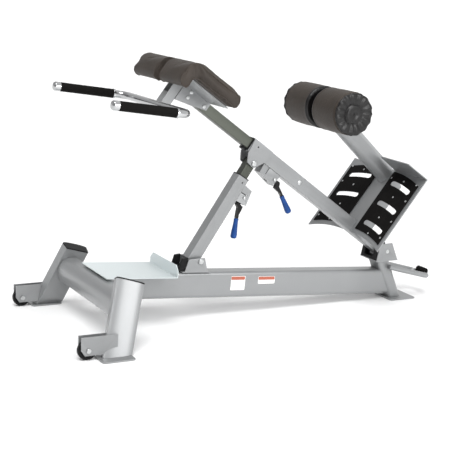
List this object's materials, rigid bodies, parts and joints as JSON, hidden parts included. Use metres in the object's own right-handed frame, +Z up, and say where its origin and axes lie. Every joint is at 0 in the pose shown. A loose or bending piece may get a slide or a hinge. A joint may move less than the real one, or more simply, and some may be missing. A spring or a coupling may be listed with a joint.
{
  "type": "roman chair",
  "caption": "Inclined roman chair: hip pads and side grips on a sliding post, ankle rollers over a slotted foot plate, telescoping support strut, front wheels and rear lifting handle.",
  "frame": {"origin": "on the floor, under the middle of the bounding box", "axes": "+X towards the foot end, +Z up, +Y to the right of a user who lies face down with the head towards -X"},
  "size_m": [1.7086, 0.84, 1.0044],
  "materials": {
    "silver_coat": "silver metallic powder coat",
    "pale_coat": "near-white powder coat",
    "zinc": "dark zinc plate",
    "chrome": "polished",
    "bolt_steel": "bright zinc plate",
    "black_plastic": "moulded black",
    "black_rubber": "moulded black",
    "vinyl": "charcoal vinyl over foam",
    "lever_steel": "black paint",
    "blue_plastic": "blue dipped grip"
  },
  "bodies": {
    "base": {"main_beam": "silver_coat", "front_cross_tube": "silver_coat", "front_post_left": "silver_coat", "front_post_right": "silver_coat", "front_post_cap_left": "black_plastic", "front_post_cap_right": "black_plastic", "front_foot_plate_left": "silver_coat", "front_foot_plate_right": "silver_coat", "wheel_bracket_left": "silver_coat", "wheel_bracket_right": "silver_coat", "wheel_axle_left": "bolt_steel", "wheel_axle_right": "bolt_steel", "platform_plate": "pale_coat", "strut_base_bracket": "silver_coat", "strut_pivot_bolt": "bolt_steel", "rear_post": "silver_coat", "rear_foot_plate": "silver_coat", "rear_bracket": "silver_coat", "rear_pivot_pin": "bolt_steel", "rear_hinge_cover": "black_plastic", "rear_handle_loop": "silver_coat", "rear_handle_grip": "black_rubber"},
    "arm": {"arm_tube": "silver_coat", "arm_bush": "black_plastic", "arm_clevis": "silver_coat", "clevis_bolt": "bolt_steel", "footplate_frame": "silver_coat", "footplate_spine": "silver_coat", "foot_mat_left": "black_rubber", "foot_mat_right": "black_rubber", "roller_post": "silver_coat", "roller_axle": "bolt_steel", "arm_lock_housing": "silver_coat"},
    "seat": {"seat_inner_tube": "zinc", "carriage_left": "silver_coat", "carriage_right": "silver_coat", "hip_pad_left": "vinyl", "hip_pad_right": "vinyl", "handlebar_stem": "silver_coat", "handlebar_tube": "chrome", "handlebar_grip_left": "black_rubber", "handlebar_grip_right": "black_rubber"},
    "strut": {"strut_tube": "silver_coat", "strut_bush": "black_plastic", "strut_lock_housing": "silver_coat"},
    "strut_inner": {"strut_inner_tube": "zinc"},
    "wheel_left": {"front_wheel_left": "black_plastic"},
    "wheel_right": {"front_wheel_right": "black_plastic"},
    "roller_left": {"roller_foam_left": "vinyl", "roller_cap_left": "black_plastic"},
    "roller_right": {"roller_foam_right": "vinyl", "roller_cap_right": "black_plastic"},
    "arm_latch_lever": {"arm_lever": "lever_steel", "arm_lever_grip": "blue_plastic"},
    "arm_latch_pin": {"arm_lock_pin": "bolt_steel"},
    "strut_latch_lever": {"strut_lever": "lever_steel", "strut_lever_grip": "blue_plastic"},
    "strut_latch_pin": {"strut_lock_pin": "bolt_steel"}
  },
  "joints": [
    {"name": "arm_incline", "type": "hinge", "parent": "base", "child": "arm", "pos_m": [0.6126, 0, 0.208], "axis": [0, 1, 0], "range_deg": [-2, 12]},
    {"name": "strut_swing", "type": "hinge", "parent": "base", "child": "strut", "pos_m": [-0.2414, 0, 0.228], "axis": [0, 1, 0], "range_deg": [-0.2, 0.95]},
    {"name": "strut_extend", "type": "slide", "parent": "strut", "child": "strut_inner", "axis": [0.5483, 0, 0.8363], "range_m": [-0.0262, 0.156]},
    {"name": "seat_slide", "type": "slide", "parent": "arm", "child": "seat", "axis": [-0.8131, 0, 0.5821], "range_m": [-0.2, 0.06]},
    {"name": "wheel_left_spin", "type": "hinge", "parent": "base", "child": "wheel_left", "pos_m": [-0.8209, -0.3524, 0.035], "axis": [0, 1, 0], "continuous": true},
    {"name": "wheel_right_spin", "type": "hinge", "parent": "base", "child": "wheel_right", "pos_m": [-0.8209, 0.3524, 0.035], "axis": [0, 1, 0], "continuous": true},
    {"name": "roller_left_spin", "type": "hinge", "parent": "arm", "child": "roller_left", "pos_m": [0.31276, -0.11, 0.80134], "axis": [0, 1, 0], "continuous": true},
    {"name": "roller_right_spin", "type": "hinge", "parent": "arm", "child": "roller_right", "pos_m": [0.31276, 0.11, 0.80134], "axis": [0, 1, 0], "continuous": true},
    {"name": "arm_lever_turn", "type": "hinge", "parent": "arm", "child": "arm_latch_lever", "pos_m": [0.07821, 0, 0.52663], "axis": [0, -1, 0], "range_deg": [0, 18], "stiffness_Nm_per_rad": 1.5, "springref_deg": -8.59},
    {"name": "arm_pin_draw", "type": "slide", "parent": "arm", "child": "arm_latch_pin", "axis": [-0.5821, 0, -0.8131], "range_m": [0, 0.0091]},
    {"name": "strut_lever_turn", "type": "hinge", "parent": "strut", "child": "strut_latch_lever", "pos_m": [-0.05259, 0, 0.46055], "axis": [0, 1, 0], "range_deg": [0, 18], "stiffness_Nm_per_rad": 1.5, "springref_deg": -8.59},
    {"name": "strut_pin_draw", "type": "slide", "parent": "strut", "child": "strut_latch_pin", "axis": [0.8363, 0, -0.5483], "range_m": [0, 0.0091]}
  ],
  "couplings": [
    {"joint": "strut_swing", "follows": "arm_incline", "ratio": 0.0735},
    {"joint": "strut_extend", "follows": "arm_incline", "m_per_rad": 0.7416},
    {"joint": "arm_pin_draw", "follows": "arm_lever_turn", "m_per_rad": 0.0287},
    {"joint": "strut_pin_draw", "follows": "strut_lever_turn", "m_per_rad": 0.0287}
  ]
}
